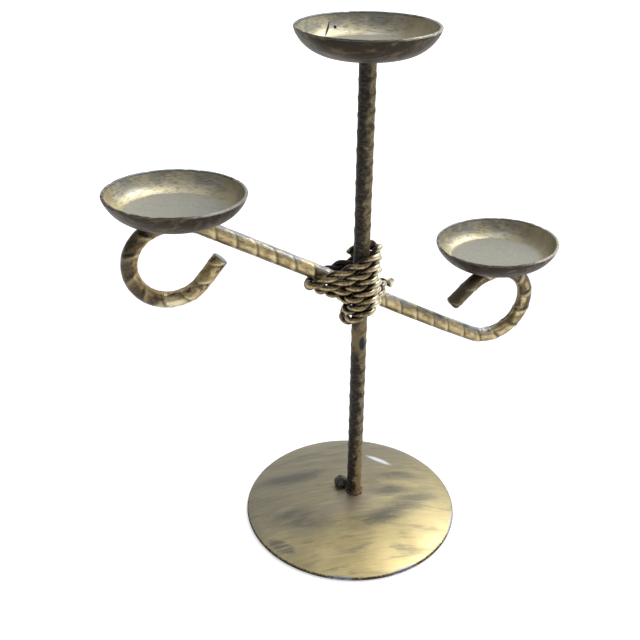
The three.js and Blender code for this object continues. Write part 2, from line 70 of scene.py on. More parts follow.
class Finish:
    """The nodes of one material."""

    def __init__(self, name):
        self.material = bpy.data.materials.new(name)
        self.material.use_nodes = True
        self.tree = self.material.node_tree
        self.shader = self.tree.nodes["Principled BSDF"]

    def feed(self, socket, value):
        if isinstance(value, bpy.types.NodeSocket):
            self.tree.links.new(value, socket)
        else:
            socket.default_value = value

    def shade(self, inputs):
        """Sets the shader's own inputs, each from a plain value or from a node."""
        for key, value in inputs.items():
            self.feed(self.shader.inputs[key], value)

    def node(self, kind, inputs, **settings):
        made = self.tree.nodes.new("ShaderNode" + kind)
        for key, value in settings.items():
            setattr(made, key, value)
        for key, value in inputs.items():
            self.feed(made.inputs[key], value)
        return made

    def math(self, operation, first, second):
        return self.node("Math", {0: first, 1: second}, operation=operation).outputs[0]

    def both(self, first, second):
        return self.math("MULTIPLY", first, second)

    def rise(self, value, low, high):
        """0 below low, 1 above high, and smooth between. A low above high turns it round."""
        ends = {"Value": value, "From Min": low, "From Max": high}
        return self.node("MapRange", ends, interpolation_type="SMOOTHSTEP").outputs[0]

    def spread(self, value, low, high, least, most):
        """Runs evenly from least to most while the value runs from low to high."""
        ends = {"Value": value, "From Min": low, "From Max": high, "To Min": least, "To Max": most}
        return self.node("MapRange", ends).outputs[0]

    def mix(self, share, first, second):
        made = self.node("Mix", {0: share}, data_type="RGBA")
        self.feed(made.inputs[6], (*first, 1) if isinstance(first, tuple) else first)
        self.feed(made.inputs[7], (*second, 1) if isinstance(second, tuple) else second)
        return made.outputs[2]

    def lay(self, colour, share, strength, paint):
        """Lays paint over a colour where the share is 1, as thickly as the strength says."""
        return self.mix(self.both(share, strength), colour, paint)

    def marked(self, name):
        """A number that the mesh carries at each of its points."""
        return self.node("Attribute", {}, attribute_name=name).outputs["Fac"]

    def place(self, grain=(1, 1, 1), turn=0, about=(0, 0, 0), attribute=""):
        """A point's place from a middle, in grains of so many millimetres, turned about Z by degrees."""
        if attribute:
            point = self.node("Attribute", {}, attribute_name=attribute).outputs["Vector"]
        else:
            point = self.node("TexCoord", {}).outputs["Object"]
        settings = {
            "Vector": point,
            "Location": Vector(about) * MM,
            "Rotation": (0, 0, math.radians(turn)),
            "Scale": Vector(grain) * MM,
        }
        return self.node("Mapping", settings, vector_type="TEXTURE").outputs[0]

    def length(self, place):
        return self.node("VectorMath", {0: place}, operation="LENGTH").outputs["Value"]

    def cloud(self, grain, turn=0, detail=4, rough=0.6, warp=0.0, attribute=""):
        """Cloudy noise, mostly from 0.3 to 0.7, with grains of so many millimetres."""
        settings = {
            "Vector": self.place(grain, turn, attribute=attribute),
            "Scale": 1.0,
            "Detail": detail,
            "Roughness": rough,
            "Distortion": warp,
        }
        return self.node("TexNoise", settings).outputs["Fac"]

    def torn(self, value, cloud, reach):
        """A value that a cloud throws to either side by up to half of the reach."""
        return self.math("ADD", value, self.both(self.math("SUBTRACT", cloud, 0.5), reach))

    def towards(self, way, attribute=""):
        """How far a point lies in one direction, in millimetres."""
        place = self.place(attribute=attribute)
        return self.node("VectorMath", {0: place, 1: way}, operation="DOT_PRODUCT").outputs["Value"]

    def mark(self, middle, half_size, turn=0, *, soft, ragged=0.0):
        """1 on a long round spot and 0 outside it, with a soft or a ragged edge."""
        out = self.length(self.place(half_size, turn, middle))
        if ragged:
            out = self.torn(out, self.cloud((0.9, 0.9, 0.9), detail=3), ragged)
        return self.rise(out, 1.0 + soft / 2, 1.0 - soft / 2)

    def relief(self, height, depth):
        """Bumps as deep as depth, in millimetres, where height runs from 0 to 1."""
        bump = self.node("Bump", {"Height": height, "Distance": depth * MM, "Strength": 1.0})
        self.feed(self.shader.inputs["Normal"], bump.outputs[0])


FLOOR_RADIUS = 4.0  # metres
FLOOR_PAINT = (0.72, 0.72, 0.72, 1)
FLOOR_GLOW = 0.5

floor_finish = Finish("white_floor")
rays = floor_finish.node("LightPath", {}).outputs
seen = floor_finish.math("MAXIMUM", rays["Is Camera Ray"], rays["Is Glossy Ray"])
seen = floor_finish.math("MAXIMUM", seen, rays["Is Transmission Ray"])
floor_look = {
    "Base Color": FLOOR_PAINT,
    "Roughness": 0.9,
    "Specular IOR Level": 0.0,
    "Emission Color": (1, 1, 1, 1),
    "Emission Strength": floor_finish.both(seen, FLOOR_GLOW),
}
floor_finish.shade(floor_look)

ground = bmesh.new()
bmesh.ops.create_circle(ground, cap_ends=True, radius=FLOOR_RADIUS, segments=64)
ground_mesh = bpy.data.meshes.new("floor")
ground.to_mesh(ground_mesh)
ground.free()
ground_mesh.materials.append(floor_finish.material)
floor = bpy.data.objects.new("floor", ground_mesh)
bpy.context.scene.collection.objects.link(floor)

SKY_BRIGHTEST = Vector((0.5, 0.35, 0.8)).normalized()
SKY_LOW = (0.27, 0.27, 0.28, 1)
SKY_HIGH = (1.02, 1.05, 1.10, 1)
SKY_FROM = -0.1  # how far round towards the brightest part the sky starts to brighten
world = bpy.data.worlds.new("daylight")
world.use_nodes = True
bpy.context.scene.world = world
sky = world.node_tree
sky_way = sky.nodes.new("ShaderNodeTexCoord")
sky_side = sky.nodes.new("ShaderNodeVectorMath")
sky_side.operation = "DOT_PRODUCT"
sky_side.inputs[1].default_value = SKY_BRIGHTEST
sky_share = sky.nodes.new("ShaderNodeMapRange")
sky_share.inputs["From Min"].default_value = SKY_FROM
sky_mix = sky.nodes.new("ShaderNodeMix")
sky_mix.data_type = "RGBA"
sky_mix.inputs[6].default_value = SKY_LOW
sky_mix.inputs[7].default_value = SKY_HIGH
sky.links.new(sky_way.outputs["Generated"], sky_side.inputs[0])
sky.links.new(sky_side.outputs["Value"], sky_share.inputs["Value"])
sky.links.new(sky_share.outputs[0], sky_mix.inputs[0])
sky.links.new(sky_mix.outputs[2], sky.nodes["Background"].inputs["Color"])

LAMP_FROM = Vector((0.571, 0.118, 0.8))
LAMP_STRENGTH = 1.9
LAMP_BREADTH = math.radians(28)
LAMP_COLOUR = (1.0, 0.96, 0.88)
lamp_data = bpy.data.lights.new("window", "SUN")
lamp_data.energy = LAMP_STRENGTH
lamp_data.angle = LAMP_BREADTH
lamp_data.color = LAMP_COLOUR
lamp = bpy.data.objects.new("window", lamp_data)
lamp.rotation_mode = "QUATERNION"
lamp.rotation_quaternion = LAMP_FROM.to_track_quat("Z", "Y")
bpy.context.scene.collection.objects.link(lamp)

# ---------- Foot ----------
# A steel disc pressed into a low dome, hollow below, painted antique gold with a dry brush so that
# dark streaks of the metal show through. Its cut edge is worn bare.

FOOT_RADIUS = 31.0
FOOT_SHEET = 1.2
FOOT_RISE = 4.6
FOOT_RIM = 1.8
FOOT_STEPS = 200
HOLLOW_RINGS = 12
EDGE_FACETS = 6
DOME_RINGS = 31
EDGE_NICK_SIZE = 2.5
EDGE_NICK_DEPTH = 0.004  # of the radius
DENT_SIZE = 9
DENT_DEPTH = 0.05
TOUCHING = 1e-7  # metres within which two points are one


def turned(profile, steps):
    """A closed shell spun from points (radius, height), in millimetres, and perhaps a zone's mark."""
    shape = bmesh.new()
    zone = shape.verts.layers.float.new("zone")
    made = []
    for radius, height, *mark in profile:
        vertex = shape.verts.new((radius * MM, 0, height * MM))
        vertex[zone] = mark[0] if mark else 0
        made.append(vertex)
    line = [shape.edges.new(pair) for pair in zip(made, made[1:])]
    bmesh.ops.spin(
        shape,
        geom=made + line,
        axis=(0, 0, 1),
        cent=(0, 0, 0),
        angle=math.tau,
        steps=steps,
        use_merge=True,
    )
    bmesh.ops.remove_doubles(shape, verts=shape.verts, dist=TOUCHING)
    bmesh.ops.recalc_face_normals(shape, faces=shape.faces)
    return shape


def show(shape, name, finish, node):
    """Makes a piece of a finished shape, in place of a CAD node."""
    mesh = bpy.data.meshes.new(name)
    shape.to_mesh(mesh)
    shape.free()
    mesh.shade_smooth()
    mesh.materials.append(finish.material)
    piece = bpy.data.objects.new(name, mesh)
    bpy.context.scene.collection.objects.link(piece)
    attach(piece, "root")
    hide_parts(node)
    return piece


def foot_profile():
    """From the middle of the hollow outwards, round the edge, and back over the dome."""
    edge = FOOT_SHEET / 2
    hollow = FOOT_RADIUS - edge - FOOT_RIM
    points = []
    for i in range(HOLLOW_RINGS + 1):
        radius = hollow * i / HOLLOW_RINGS
        points.append((radius, FOOT_RISE * (1 - (radius / hollow) ** 2)))
    for i in range(EDGE_FACETS + 1):
        turn = math.pi * (i / EDGE_FACETS - 0.5)
        points.append((FOOT_RADIUS - edge + edge * math.cos(turn), edge + edge * math.sin(turn)))
    for i in range(DOME_RINGS - 1, -1, -1):
        radius = (FOOT_RADIUS - edge) * i / DOME_RINGS
        points.append((radius, FOOT_SHEET + FOOT_RISE * (1 - (radius / FOOT_RADIUS) ** 2)))
    return points


foot_shape = turned(foot_profile(), FOOT_STEPS)
for vertex in foot_shape.verts:
    radius = math.hypot(vertex.co.x, vertex.co.y)
    if radius > 0.9 * FOOT_RADIUS * MM and vertex.co.z > 0.2 * MM:
        nick = noise.noise(vertex.co / (EDGE_NICK_SIZE * MM)) - 0.2
        vertex.co *= 1 - EDGE_NICK_DEPTH * max(nick, 0)
    if vertex.co.z > 1.0 * MM and radius < 0.97 * FOOT_RADIUS * MM:
        vertex.co.z += DENT_DEPTH * MM * noise.noise(vertex.co / (DENT_SIZE * MM))

BRUSHED = -9  # degrees from +X to the way of the brush
LIT_SIDE = (0.287, -0.958, 0)
SHADE_PAINTED_SIDE = (0.83, -0.55, 0)
FLATTENED = (1, 1, 1e5)  # leaves only how far a point is from the axis
OLD_GOLD = (0.46, 0.375, 0.185)
FRESH_GOLD = (0.60, 0.50, 0.25)
SHADED_GOLD = (0.27, 0.24, 0.165)
THIN_GOLD = (0.185, 0.175, 0.135)
DARK_HAIRS = (0.15, 0.135, 0.10)
PALE_HAIRS = (0.66, 0.60, 0.40)
DARK_PATCH_GREY = (0.125, 0.125, 0.108)
PAINTED_SHADE_GOLD = (0.36, 0.32, 0.20)
DUST = (0.38, 0.34, 0.29)
GLINT_WHITE = (0.72, 0.75, 0.80)
CUT_EDGE = (0.055, 0.045, 0.033)

foot_finish = Finish("brushed_gold_foot")
broad = foot_finish.cloud((13, 13, 13), detail=3, rough=0.55)
strokes = foot_finish.cloud((14, 3.2, 14), BRUSHED, detail=5, rough=0.62, warp=0.3)
hairs = foot_finish.cloud((9, 0.35, 9), BRUSHED, detail=3)
grain = foot_finish.cloud((0.6, 0.6, 0.6))
lit = foot_finish.rise(foot_finish.torn(foot_finish.towards(LIT_SIDE), strokes, 60), -14, 24)
gold = foot_finish.mix(foot_finish.rise(broad, 0.35, 0.65), OLD_GOLD, FRESH_GOLD)
colour = foot_finish.mix(lit, SHADED_GOLD, gold)
colour = foot_finish.lay(colour, foot_finish.rise(strokes, 0.50, 0.64), 0.6, THIN_GOLD)
colour = foot_finish.lay(colour, foot_finish.rise(hairs, 0.52, 0.75), 0.35, DARK_HAIRS)
colour = foot_finish.lay(colour, foot_finish.rise(hairs, 0.46, 0.3), 0.25, PALE_HAIRS)

# Darker patches, streaked along the brush: middle, half length and width, and turn.
DARK_PATCHES = [
    ((-17.0, -5.0, 3), (9.5, 4.5, 5), -35),
    ((17.5, 3.2, 4), (7.0, 2.0, 4), -9),
    ((-14.0, 13.0, 4), (9.0, 2.6, 4), -9),
    ((10.5, -2.4, 5), (6.5, 2.2, 4), -9),
    ((7.0, -12.5, 4), (9.0, 2.6, 4), 10),
    ((17.0, -8.0, 4), (9.0, 2.0, 4), 4),
]
for middle, half_size, turn in DARK_PATCHES:
    dark_patch = foot_finish.mark(middle, half_size, turn, soft=1.3, ragged=0.5)
    dark_patch = foot_finish.both(dark_patch, foot_finish.rise(strokes, 0.30, 0.56))
    colour = foot_finish.lay(colour, dark_patch, 0.8, DARK_PATCH_GREY)
# Painted shade: the right front of the dome is darkened to tone down the lamp's highlight there.
painted_shade_right = foot_finish.rise(foot_finish.towards(SHADE_PAINTED_SIDE), 10, 27)
colour = foot_finish.lay(colour, painted_shade_right, 0.4, PAINTED_SHADE_GOLD)
dusty = foot_finish.mark((-0.2, -4.5, 6), (8, 5, 6), soft=1.4, ragged=0.8)
colour = foot_finish.lay(colour, dusty, 0.4, DUST)
# A painted glint: a small pale bluish-white highlight on the dome, behind the stem and to its right.
painted_glint = foot_finish.mark((14.4, 12.6, 3), (4.0, 0.95, 4), -52.6, soft=0.8, ragged=0.5)
colour = foot_finish.mix(painted_glint, colour, GLINT_WHITE)
from_axis = foot_finish.length(foot_finish.place(FLATTENED))
edge = foot_finish.math("ADD", from_axis, foot_finish.both(grain, 1.2))
edge = foot_finish.rise(edge, FOOT_RADIUS + 0.15, FOOT_RADIUS + 0.5)
colour = foot_finish.mix(edge, colour, CUT_EDGE)

# Places where the edge is rubbed bare: middle, half length and width, turn and colour.
RUBBED = [
    ((-13.4, -27.9, 1), (3.4, 0.9, 3), -25.6, (0.24, 0.27, 0.34)),
    ((4.4, -30.6, 1), (5.2, 0.8, 3), 8.2, (0.24, 0.27, 0.34)),
    ((-25.3, -12.4, 2), (4.2, 1.5, 3), -52, (0.15, 0.14, 0.115)),
    # The silvery patch on the right front is bare metal with a painted highlight laid on it.
    ((25.2, -17.6, 1), (7.0, 0.9, 3), 55, (0.42, 0.42, 0.40)),
]
for middle, half_size, turn, bare in RUBBED:
    worn = foot_finish.mark(middle, half_size, turn, soft=0.6, ragged=1.2)
    worn = foot_finish.both(worn, foot_finish.rise(hairs, 0.36, 0.56))
    colour = foot_finish.lay(colour, worn, 0.85, bare)
rough = foot_finish.spread(strokes, 0.35, 0.65, 0.40, 0.52)
foot_finish.shade({"Base Color": colour, "Metallic": 0.85, "Roughness": rough})
foot_finish.relief(foot_finish.math("ADD", hairs, foot_finish.both(grain, 0.6)), 0.035)

show(foot_shape, "foot_disc", foot_finish, "base_plate")

# ---------- Stem ----------
# A 4.2 mm steel rod rolled with two rows of slanting ribs, cut square and stood upright on the foot.
# It is nearly black, with brown and gold left here and there; the gold that grows on its right side,
# towards the lamp, is partly painted light.

ROD_RADIUS = 2.1
ROD_SIDES = 28
ROD_STEP = 0.3  # between the rings that its ribs are raised from
END_BREAK = 0.16  # of its radius, taken off the edge of a cut end
LEVEL = 1e-6  # metres within which a point lies on a cut end
RIB_LEAN = math.tan(math.radians(33))
RIB_SLOPE = 0.95  # half the width of a rib on its gentle side and on its steep side
RIB_STEEP = 0.28
RIB_WANDER = 0.5
GROOVE_PAST = 0.58  # from a rib's crest to the groove behind it
GROOVE_WIDTH = 0.40
GROOVE_DEPTH = 0.1  # of the rib's height
PIT_SIZE = 1.3
SUNK = 0.04  # how far the skin lies below the rod's radius between the ribs
STEM_AT = Vector((1.1, -0.17, 6.1)) * MM
STEM_LENGTH = 127.4
STEM_RIB_PITCH = 4.2
STEM_RIB_FACING = math.radians(-55)
STEM_RIB_HEIGHT = 0.16
STEM_PITS = 0.06


def plain_bar(radius, length, sides, step, far_round=END_BREAK):
    """A round bar along +Z from the origin, in close rings, with its cut ends broken."""
    bar = bmesh.new()
    bmesh.ops.create_cone(
        bar,
        cap_ends=True,
        segments=sides,
        radius1=radius * MM,
        radius2=radius * MM,
        depth=length * MM,
    )
    bmesh.ops.translate(bar, verts=bar.verts, vec=(0, 0, length * MM / 2))
    for end, share in ((0, END_BREAK), (length * MM, far_round)):
        rim = [edge for edge in bar.edges if all(abs(vert.co.z - end) < LEVEL for vert in edge.verts)]
        bmesh.ops.bevel(
            bar,
            geom=rim,
            offset=share * radius * MM,
            offset_type="OFFSET",
            affect="EDGES",
            segments=4,
            profile=0.5,
            material=-1,
        )
    half_way = 0.5 * length * MM
    rails = [edge for edge in bar.edges if abs(edge.verts[0].co.z - edge.verts[1].co.z) > half_way]
    bmesh.ops.subdivide_edges(bar, edges=rails, cuts=round(length / step))
    return bar


def roll_ribs(bar, length, pitch, facing, height, pits):
    """Raises slanting ribs on a bar, each steep on its far side, and marks the dark groove behind it."""
    straight = bar.verts.layers.float_vector.new("straight")
    rib = bar.verts.layers.float.new("rib")
    groove = bar.verts.layers.float.new("groove")
    for vertex in bar.verts:
        vertex[straight] = vertex.co
        turn = math.atan2(vertex.co.y, vertex.co.x) - facing
        along = vertex.co.z / MM - length / 2 - RIB_LEAN * ROD_RADIUS * math.sin(turn)
        wander = RIB_WANDER * noise.noise(Vector((0, 0, vertex.co.z / (6 * MM))))
        past = along / pitch + 0.5 + wander / pitch
        past = (past - math.floor(past) - 0.5) * pitch
        reach = math.cos(turn) ** 2
        vertex[rib] = reach * math.exp(-((past / (RIB_SLOPE if past < 0 else RIB_STEEP)) ** 2))
        vertex[groove] = reach * math.exp(-(((past - GROOVE_PAST) / GROOVE_WIDTH) ** 2))
        rough = noise.noise(vertex.co / (PIT_SIZE * MM)) * pits
        out = Vector((vertex.co.x, vertex.co.y, 0))
        if out.length > 0.5 * ROD_RADIUS * MM:
            raised = height * vertex[rib] - GROOVE_DEPTH * height * vertex[groove] + rough - SUNK
            vertex.co += out.normalized() * MM * raised


stem_shape = plain_bar(ROD_RADIUS, STEM_LENGTH, ROD_SIDES, ROD_STEP)
roll_ribs(stem_shape, STEM_LENGTH, STEM_RIB_PITCH, STEM_RIB_FACING, STEM_RIB_HEIGHT, STEM_PITS)
bmesh.ops.translate(stem_shape, verts=stem_shape.verts, vec=STEM_AT)

STEM_RIGHT = (0.925, -0.379, 0)
STEM_BLACK = (0.012, 0.0105, 0.009)
STEM_BROWN = (0.062, 0.050, 0.034)
DIRTY_GOLD = (0.13, 0.095, 0.052)
STEM_GOLD = (0.34, 0.26, 0.14)
LIT_GREYED_GOLD = (0.26, 0.215, 0.185)
ROPE_GOLD = (0.30, 0.225, 0.11)
STEM_RIB = (0.30, 0.24, 0.15)
STEM_GROOVE = (0.014, 0.012, 0.010)
BURNT = (0.022, 0.025, 0.036)
LIT_LOW_GOLD = (0.36, 0.27, 0.125)
STEM_RUST = (0.34, 0.17, 0.075)

stem_finish = Finish("dark_stem")
rib = stem_finish.marked("rib")
groove = stem_finish.marked("groove")
specks = stem_finish.cloud((1.3, 1.3, 0.5), rough=0.65, attribute="straight")
patches = stem_finish.cloud((1.8, 1.8, 2.6), attribute="straight")
grain = stem_finish.cloud((0.5, 0.5, 0.4), detail=3, attribute="straight")
right = stem_finish.torn(stem_finish.towards(STEM_RIGHT, "straight"), patches, 6)
height = stem_finish.towards((0, 0, 1))
colour = stem_finish.mix(stem_finish.rise(specks, 0.42, 0.66), STEM_BLACK, STEM_BROWN)
gold = stem_finish.mix(stem_finish.rise(grain, 0.35, 0.65), DIRTY_GOLD, STEM_GOLD)
# Painted light, partly real gold: the right side, which faces the lamp, is painted gold.
colour = stem_finish.lay(colour, stem_finish.rise(right, 0.2, 1.4), 0.85, gold)
# Painted light: the lower right side is painted a lighter greyed gold.
lit_low_right = stem_finish.both(stem_finish.rise(right, 0.9, 1.8), stem_finish.rise(height, 46, 36))
colour = stem_finish.lay(colour, lit_low_right, 0.7, LIT_GREYED_GOLD)
under_rope = stem_finish.mark((1.1, -1.6, 59), (2.6, 2.6, 4.5), soft=0.8, ragged=1.2)
colour = stem_finish.lay(colour, under_rope, 0.6, ROPE_GOLD)
colour = stem_finish.lay(colour, rib, 0.4, STEM_RIB)
colour = stem_finish.lay(colour, groove, 0.7, STEM_GROOVE)
burnt = stem_finish.mark((1.3, -2.3, 57.8), (0.9, 0.9, 2.1), soft=0.5, ragged=0.8)
colour = stem_finish.mix(burnt, colour, BURNT)
# Painted light: low on the stem, the lit right side is painted gold.
lit_low_golden = stem_finish.both(stem_finish.rise(right, -0.4, 0.8), stem_finish.rise(height, 30, 14))
colour = stem_finish.lay(colour, lit_low_golden, 0.7, LIT_LOW_GOLD)
rust = stem_finish.mark((1.9, -2.1, 6.6), (2.0, 1.8, 1.0), soft=0.6, ragged=0.8)
colour = stem_finish.lay(colour, rust, 0.7, STEM_RUST)
stem_look = {"Base Color": colour, "Metallic": 0.35, "Roughness": 0.55, "Specular IOR Level": 0.25}
stem_finish.shade(stem_look)
stem_finish.relief(stem_finish.math("ADD", grain, specks), 0.08)
show(stem_shape, "stem", stem_finish, "stem_rod")

# ---------- Curled arm ----------
# The same ribbed rod, 20 cm of it, bent cold round a former into a curl at each end. It crosses
# behind the stem on a slant, and its ribs face the front with brushed gold between them.

CROSSING_HEIGHT = 71.9
ARM_CROSSING = Vector((1.1, 4.33, CROSSING_HEIGHT)) * MM
ARM_SLOPE = 29.4
LOW_DIP = 1.8
ARM_RIB_PITCH = 5.8
ARM_RIB_HEIGHT = 0.32
ARM_PITS = 0.05
LOW_END_ROUND = 0.5
# Straights (length, 0) and bends (radius, degrees) from the crossing outwards.
HIGH_BENDS = [(45.8, 0), (14.0, 51.5), (9.9, 207.9), (7.8, 0)]
LOW_BENDS = [(737.9, 3.3), (11.2, 117.9), (9.3, 95.3), (14.0, 37.7), (7.3, 0)]
BEND_STEP = 0.25


class Route:
    """A run through close points. Its side turns no more than the run itself does."""

    def __init__(self, points, side):
        self.points = points
        self.reach = [0.0]
        for here, there in zip(points, points[1:]):
            self.reach.append(self.reach[-1] + (there - here).length)
        last = len(points) - 1
        self.ahead = []
        for i in range(last + 1):
            self.ahead.append((points[min(i + 1, last)] - points[max(i - 1, 0)]).normalized())
        self.sides = []
        for ahead in self.ahead:
            side = (side - ahead * side.dot(ahead)).normalized()
            self.sides.append(side)

    def frame(self, distance):
        i = min(max(bisect_right(self.reach, distance) - 1, 0), len(self.points) - 2)
        share = (distance - self.reach[i]) / (self.reach[i + 1] - self.reach[i])
        ahead = self.ahead[i].lerp(self.ahead[i + 1], share).normalized()
        side = self.sides[i].lerp(self.sides[i + 1], share)
        side = (side - ahead * side.dot(ahead)).normalized()
        return self.points[i].lerp(self.points[i + 1], share), side, ahead.cross(side)


def bend_bar(bar, route):
    """Bends a bar that stands along +Z so that its middle follows a route."""
    frames = {}
    for vertex in bar.verts:
        level = round(vertex.co.z, 7)
        if level not in frames:
            frames[level] = route.frame(vertex.co.z)
        middle, side, beside = frames[level]
        vertex.co = middle + side * vertex.co.x + beside * vertex.co.y


def bent_run(heading, bends):
    """Close points along straights and bends, from the crossing outwards."""
    here = ARM_CROSSING.copy()
    points = [here.copy()]
    direction = math.radians(heading)
    for size, turn in bends:
        angle = math.radians(turn)
        length = size * angle if turn else size
        count = math.ceil(length / BEND_STEP)
        for _ in range(count):
            direction += angle / count / 2
            here += Vector((math.cos(direction), 0, math.sin(direction))) * (length / count * MM)
            direction += angle / count / 2
            points.append(here.copy())
    return points


high_run = bent_run(180 - ARM_SLOPE, HIGH_BENDS)
low_run = bent_run(-ARM_SLOPE - LOW_DIP, LOW_BENDS)
arm_route = Route(high_run[:0:-1] + low_run, Vector((0, -1, 0)))
arm_length = arm_route.reach[-1] / MM
arm_shape = plain_bar(ROD_RADIUS, arm_length, ROD_SIDES, ROD_STEP, LOW_END_ROUND)
roll_ribs(arm_shape, arm_length, ARM_RIB_PITCH, 0.0, ARM_RIB_HEIGHT, ARM_PITS)
bend_bar(arm_shape, arm_route)

# On the straight bar +X is its front, +Y is the underside of the arm and +Z runs down its length
# from the cut end of the high curl, and these lengths are measured along it.
HIGH_CURL_LENGTH = 56.3
LOW_CURL_START = 144.6
LOW_STUB_LENGTH = 9
ARM_BLACK = (0.022, 0.017, 0.012)
ARM_BROWN = (0.085, 0.062, 0.034)
DEEP_GOLD = (0.27, 0.19, 0.085)
BRUSHED_GOLD = (0.66, 0.53, 0.28)
GOLD_SCRATCH = (0.10, 0.072, 0.04)
BLUE_SKY_SHEEN = (0.33, 0.35, 0.38)
PALE_TOP_SHEEN = (0.62, 0.58, 0.46)
STEEL_SCRATCH = (0.09, 0.085, 0.08)
WARM_BROWN = (0.30, 0.175, 0.065)
RISING_BROWN = (0.085, 0.06, 0.034)
CURL_HIGHLIGHT_GOLD = (0.85, 0.76, 0.50)
RIB_GOLD = (0.80, 0.68, 0.40)
GROOVE_BLACK = (0.014, 0.011, 0.009)
STUB_BROWN = (0.085, 0.068, 0.042)
CUT_STEEL = (0.27, 0.27, 0.26)

arm_finish = Finish("brushed_arm")
rib = arm_finish.marked("rib")
groove = arm_finish.marked("groove")
drawn = arm_finish.cloud((0.7, 0.7, 5.0), attribute="straight")
patches = arm_finish.cloud((2.2, 2.2, 3.4), attribute="straight")
grain = arm_finish.cloud((0.5, 0.5, 0.5), detail=3, attribute="straight")
front = arm_finish.torn(arm_finish.towards((1, 0, 0), "straight"), patches, 3)
below = arm_finish.torn(arm_finish.towards((0, 1, 0), "straight"), patches, 3)
down = arm_finish.towards((0, 0, 1), "straight")
high_curl = arm_finish.rise(down, HIGH_CURL_LENGTH, HIGH_CURL_LENGTH - 8)
high_crown = arm_finish.rise(down, HIGH_CURL_LENGTH - 2, HIGH_CURL_LENGTH - 16)
past_high_crown = arm_finish.rise(high_crown, 1, 0)
low_curl = arm_finish.rise(down, LOW_CURL_START + 2, LOW_CURL_START + 14)
before_low_curl = arm_finish.rise(low_curl, 1, 0)

dark = arm_finish.mix(arm_finish.rise(grain, 0.35, 0.65), ARM_BLACK, ARM_BROWN)
gold = arm_finish.mix(arm_finish.rise(patches, 0.36, 0.64), DEEP_GOLD, BRUSHED_GOLD)
gold = arm_finish.lay(gold, arm_finish.rise(drawn, 0.55, 0.66), 0.6, GOLD_SCRATCH)
colour = arm_finish.mix(arm_finish.rise(front, -0.9, 0.5), dark, gold)
# The top strip is partly worn steel and partly a painted reflection of the bright sky above, pale and
# bluish.
steel_and_sky_sheen = arm_finish.mix(arm_finish.rise(patches, 0.4, 0.6), BLUE_SKY_SHEEN, PALE_TOP_SHEEN)
steel_and_sky_sheen = arm_finish.lay(steel_and_sky_sheen, arm_finish.rise(drawn, 0.52, 0.64), 0.7, STEEL_SCRATCH)
on_top = arm_finish.both(arm_finish.rise(below, -1.1, -1.75), past_high_crown)
colour = arm_finish.mix(arm_finish.both(on_top, before_low_curl), colour, steel_and_sky_sheen)
# Painted shade: the underside of the arm is darkened.
under = arm_finish.both(arm_finish.rise(below, 0.2, 1.6), past_high_crown)
colour = arm_finish.lay(colour, under, 0.85, dark)
warm = arm_finish.both(arm_finish.rise(down, 16, 24), high_curl)
colour = arm_finish.lay(colour, warm, 0.55, WARM_BROWN)
# Painted shade: the outer side of the high curl, away from the lamp, is laid nearly black.
outer = arm_finish.both(arm_finish.rise(below, 1.5, 0.2), arm_finish.rise(down, 12, 22))
outer = arm_finish.both(outer, high_curl)
colour = arm_finish.lay(colour, outer, 0.94, dark)
rising = arm_finish.rise(down, LOW_CURL_START + 12, LOW_CURL_START + 19)
rising = arm_finish.both(rising, arm_finish.rise(patches, 0.66, 0.52))
colour = arm_finish.lay(colour, rising, 0.88, RISING_BROWN)
# A painted highlight at the bottom of the high curl.
curl_highlight = arm_finish.mark((-47.5, 2.4, 74.8), (4.5, 3, 2.2), soft=0.8, ragged=0.6)
colour = arm_finish.lay(colour, curl_highlight, 0.8, CURL_HIGHLIGHT_GOLD)
# The rib gold is kept off that painted shade.
crest = arm_finish.both(rib, arm_finish.rise(outer, 1.6, 0.2))
colour = arm_finish.lay(colour, crest, 0.65, RIB_GOLD)
spotted = arm_finish.both(arm_finish.rise(down, 24, 14), arm_finish.rise(patches, 0.53, 0.60))
colour = arm_finish.lay(colour, spotted, 0.85, dark)
colour = arm_finish.lay(colour, groove, 0.88, GROOVE_BLACK)
stub_start = arm_length - LOW_STUB_LENGTH
colour = arm_finish.lay(colour, arm_finish.rise(down, stub_start, stub_start + 3), 0.8, STUB_BROWN)
colour = arm_finish.mix(arm_finish.rise(down, 0.25, 0.1), colour, CUT_STEEL)
arm_finish.shade({"Base Color": colour, "Metallic": 0.7, "Roughness": 0.36})
arm_finish.relief(arm_finish.math("ADD", grain, drawn), 0.05)
show(arm_shape, "curled_arm", arm_finish, "cross_arm")

# ---------- Cups ----------
# Three dishes pressed from steel sheet, each with a flat floor and a swelling side. Their rims are
# roughly trimmed and nicked. They are gold inside and nearly black outside.

CUP_RIM_RADIUS = 16.9
CUP_FLOOR_RADIUS = 12.6
CUP_SHEET = 1.4
CUP_HEIGHT = 6.2
CUP_LIP = 0.8
CUP_SWELL = 0.65
CUP_STEPS = 160
UNDER_RINGS = 6
WALL_RINGS = 24
LIP_FACETS = 6
FLOOR_RINGS = 10
WALL_DENT_SIZE = 5
WALL_DENT_DEPTH = 0.07
RIM_NICK_SIZE = 2.2
RIM_NICK_DEPTH = 0.45
CUP_APART = 40.0  # between the places in the noise that the cups take their dents from
# Name, CAD node, middle of its underside, and the degrees that it drops towards +X and +Y.
CUPS = [
    ("top_cup", "cup_top", Vector((0.8, -0.17, 133.8)), -0.3, -0.7),
    ("high_cup", "cup_high", Vector((-45.25, 1.83, 98.73)), 1.5, 0.5),
    ("low_cup", "cup_low", Vector((44.45, 5.53, 72.68)), -2.4, 0.8),
]


def wall_point(share, floor_radius, rim_radius, floor_height, rim_height, mark):
    """A point of a wall that swells between a straight flare and a quarter round."""
    angle = math.pi / 2 * share
    swell = share + (math.sin(angle) - share) * CUP_SWELL
    lag = share + (1 - math.cos(angle) - share) * CUP_SWELL
    radius = floor_radius + (rim_radius - floor_radius) * swell
    return radius, floor_height + (rim_height - floor_height) * lag, mark


